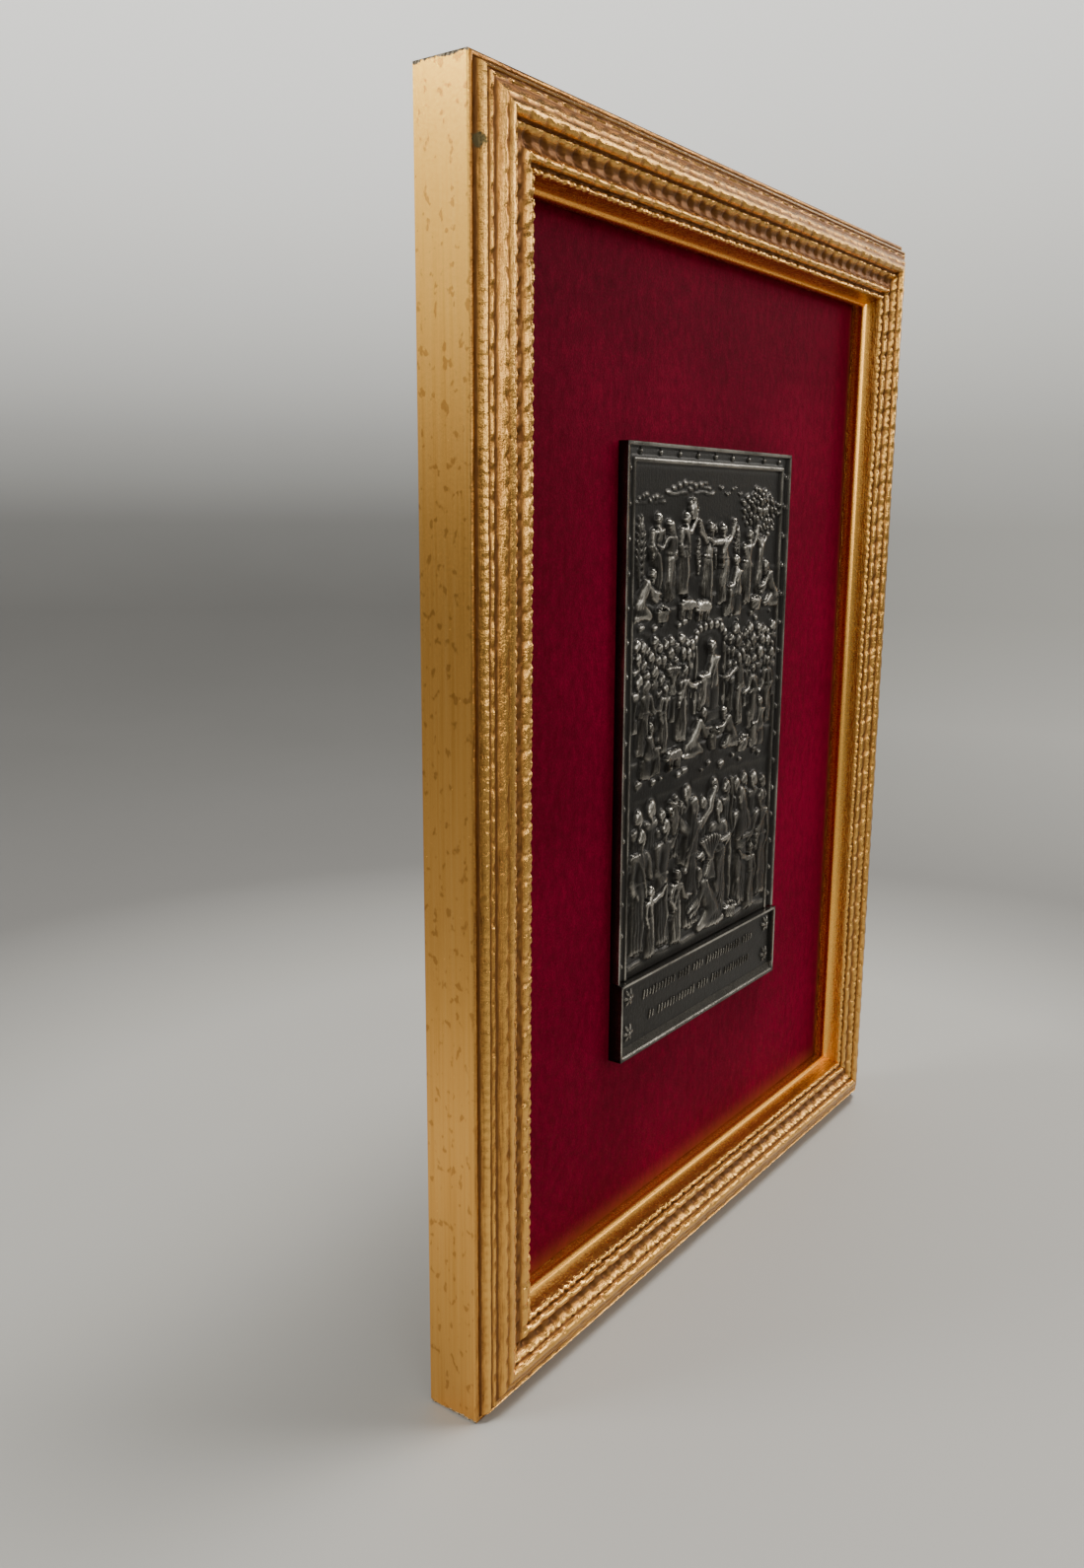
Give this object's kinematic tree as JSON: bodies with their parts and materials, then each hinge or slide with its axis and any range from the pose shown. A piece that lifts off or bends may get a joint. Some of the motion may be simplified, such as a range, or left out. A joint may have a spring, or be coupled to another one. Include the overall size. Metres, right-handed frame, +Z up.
{
  "type": "framed relief plaque",
  "caption": "Cast relief plaque of small figures with an inscription tablet, mounted on velvet in a gilt ripple-moulded frame for hanging.",
  "frame": {"origin": "on the back of the top rail, in the middle of its width and 3.8 mm below its upper edge, where the frame lies against the wall", "axes": "+Y into the wall, so the front faces -Y; +X to the right as seen from the front; +Z up"},
  "size_m": [0.24, 0.0201, 0.32],
  "materials": {
    "gilt_wood": "gilded on a red-brown ground, worn and toned, ridges bright and grooves dark",
    "velvet": "short deep crimson pile, softly mottled",
    "oxidised_silver": "silvered copper alloy, dark oxidised ground with bright worn heights",
    "board": "thin plain board, unfinished and darkened with age",
    "steel": "plain wire, dulled",
    "hanger_brass": "stamped strip, lightly tarnished"
  },
  "bodies": {
    "root": {"frame_rail_top": "gilt_wood", "frame_rail_bottom": "gilt_wood", "frame_rail_left": "gilt_wood", "frame_rail_right": "gilt_wood", "velvet": "velvet", "panel_board": "board", "panel_pin_1": "steel", "panel_pin_2": "steel", "panel_pin_3": "steel", "panel_pin_4": "steel", "panel_pin_5": "steel", "panel_pin_6": "steel", "hanger": "hanger_brass", "hanger_brad_left": "hanger_brass", "hanger_brad_right": "hanger_brass", "relief_plaque": "oxidised_silver", "inscription_tablet": "oxidised_silver"}
  },
  "joints": []
}
